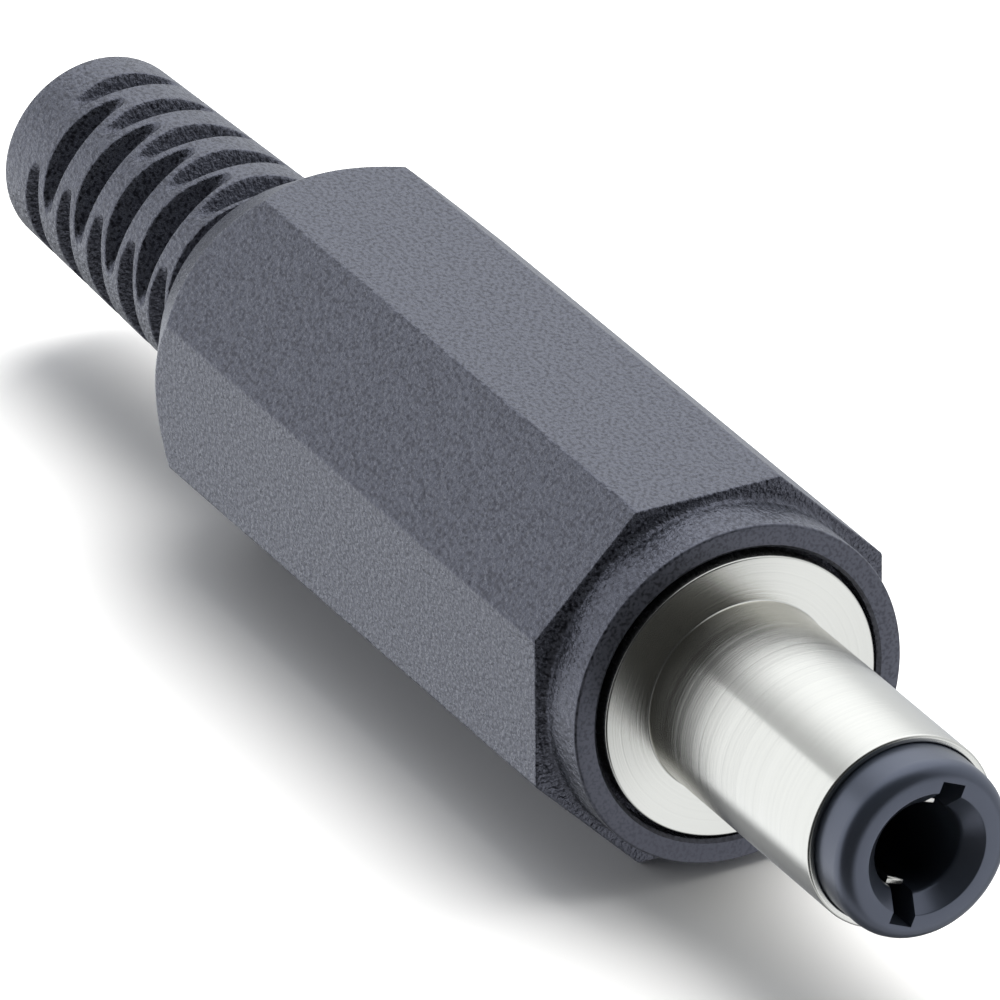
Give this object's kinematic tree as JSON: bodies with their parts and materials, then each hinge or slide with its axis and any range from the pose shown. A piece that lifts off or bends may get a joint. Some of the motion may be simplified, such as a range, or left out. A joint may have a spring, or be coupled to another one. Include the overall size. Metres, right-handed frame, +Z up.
{
  "type": "dc barrel plug",
  "caption": "Dc barrel plug for a cable: octagonal screw-on handle with a grooved bend relief, turned outer contact, insulated tip and stamped fork centre contact.",
  "frame": {"origin": "on the plug's axis at the front face of the flange, where the shaft starts", "axes": "+X along the shaft, out of the tip; +Z up from the handle flat that the plug lies on; +Y to the left when the tip points away from the viewer"},
  "size_m": [0.0474, 0.0104, 0.0104],
  "materials": {
    "moulded_handle": "moulded, fine spark-eroded grain",
    "nickel_plated_sleeve": "turned brass, satin nickel plating",
    "moulded_insulator": "moulded, satin",
    "tinned_contact": "stamped, bright tin plating",
    "tinned_lug": "stamped, bright tin plating",
    "moulded_washer": "punched sheet, matt"
  },
  "bodies": {
    "core": {"outer_sleeve": "nickel_plated_sleeve", "insulator": "moulded_insulator", "fork_contact": "tinned_contact", "ground_lug": "tinned_lug", "insulating_washer": "moulded_washer"},
    "handle": {"handle": "moulded_handle"}
  },
  "joints": [
    {"name": "handle_off", "type": "slide", "parent": "core", "child": "handle", "axis": [-1, 0, 0], "range_m": [0, 0.025]}
  ]
}
